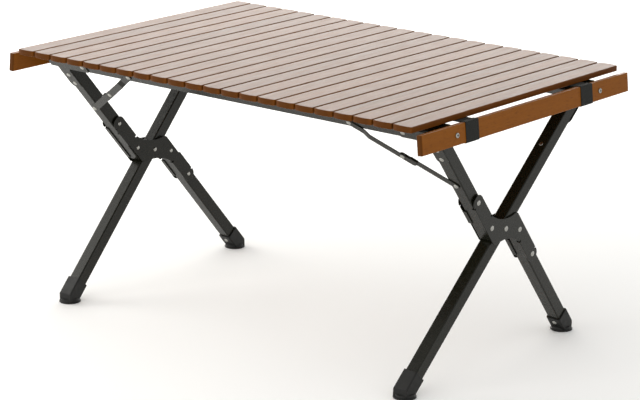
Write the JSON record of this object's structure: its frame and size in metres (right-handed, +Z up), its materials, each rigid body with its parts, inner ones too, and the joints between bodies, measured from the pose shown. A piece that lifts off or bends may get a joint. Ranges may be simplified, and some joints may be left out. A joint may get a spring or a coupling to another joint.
{
  "type": "camping table",
  "caption": "Long camping table: roll-up slatted wooden top on webbing straps, laid on two folding steel U-frames that cross at side hubs, with rail braces and flat foot boots.",
  "frame": {"origin": "on the floor, under the middle of the top", "axes": "X runs along the long side of the top, Y across it with the front rail at -Y, Z up"},
  "size_m": [1.2674, 0.81, 0.65],
  "materials": {
    "lacquered_wood": "reddish-brown hardwood, satin lacquer",
    "black_webbing": "woven polypropylene webbing",
    "black_steel": "black powder coat, satin",
    "bare_steel": "zinc-plated steel fasteners",
    "black_plastic": "moulded, matte"
  },
  "bodies": {
    "front_frame": {"front_rail": "black_steel", "leg_left_split_upper": "black_steel", "leg_left_split_lower": "black_steel", "leg_right_split_upper": "black_steel", "leg_right_split_lower": "black_steel", "hub_plate_left_outer": "black_steel", "hub_plate_left_inner": "black_steel", "hub_plate_right_outer": "black_steel", "hub_plate_right_inner": "black_steel", "hub_pivot_left": "bare_steel", "hub_pivot_right": "bare_steel", "leg_bracket_front_left": "black_steel", "leg_bracket_front_right": "black_steel", "brace_leg_link_front_left": "black_steel", "brace_leg_link_front_right": "black_steel", "brace_rail_link_front_left": "black_steel", "brace_rail_link_front_right": "black_steel", "foot_boot_back_left": "black_plastic", "foot_boot_back_right": "black_plastic"},
    "back_frame": {"back_rail": "black_steel", "leg_left_continuous": "black_steel", "leg_right_continuous": "black_steel", "leg_bracket_back_left": "black_steel", "leg_bracket_back_right": "black_steel", "foot_boot_front_left": "black_plastic", "foot_boot_front_right": "black_plastic"},
    "top": {"slat_01": "lacquered_wood", "slat_02": "lacquered_wood", "slat_03": "lacquered_wood", "slat_04": "lacquered_wood", "slat_05": "lacquered_wood", "slat_06": "lacquered_wood", "slat_07": "lacquered_wood", "slat_08": "lacquered_wood", "slat_09": "lacquered_wood", "slat_10": "lacquered_wood", "slat_11": "lacquered_wood", "slat_12": "lacquered_wood", "slat_13": "lacquered_wood", "slat_14": "lacquered_wood", "slat_15": "lacquered_wood", "slat_16": "lacquered_wood", "slat_17": "lacquered_wood", "slat_18": "lacquered_wood", "slat_19": "lacquered_wood", "slat_20": "lacquered_wood", "slat_21": "lacquered_wood", "slat_22": "lacquered_wood", "end_board_left": "lacquered_wood", "end_board_right": "lacquered_wood", "webbing_strap_front": "black_webbing", "webbing_strap_back": "black_webbing", "board_screw_front_left": "bare_steel", "board_screw_front_right": "bare_steel", "board_screw_back_left": "bare_steel", "board_screw_back_right": "bare_steel"}
  },
  "joints": [
    {"name": "frame_fold", "type": "hinge", "parent": "front_frame", "child": "back_frame", "pos_m": [0, 0, 0.331], "axis": [1, 0, 0], "range_deg": [0, 82]},
    {"name": "top_lift", "type": "slide", "parent": "front_frame", "child": "top", "axis": [0, 0, 1], "range_m": [0, 0.46]}
  ],
  "couplings": [
    {"joint": "top_lift", "follows": "frame_fold", "m_per_rad": 0.307}
  ]
}
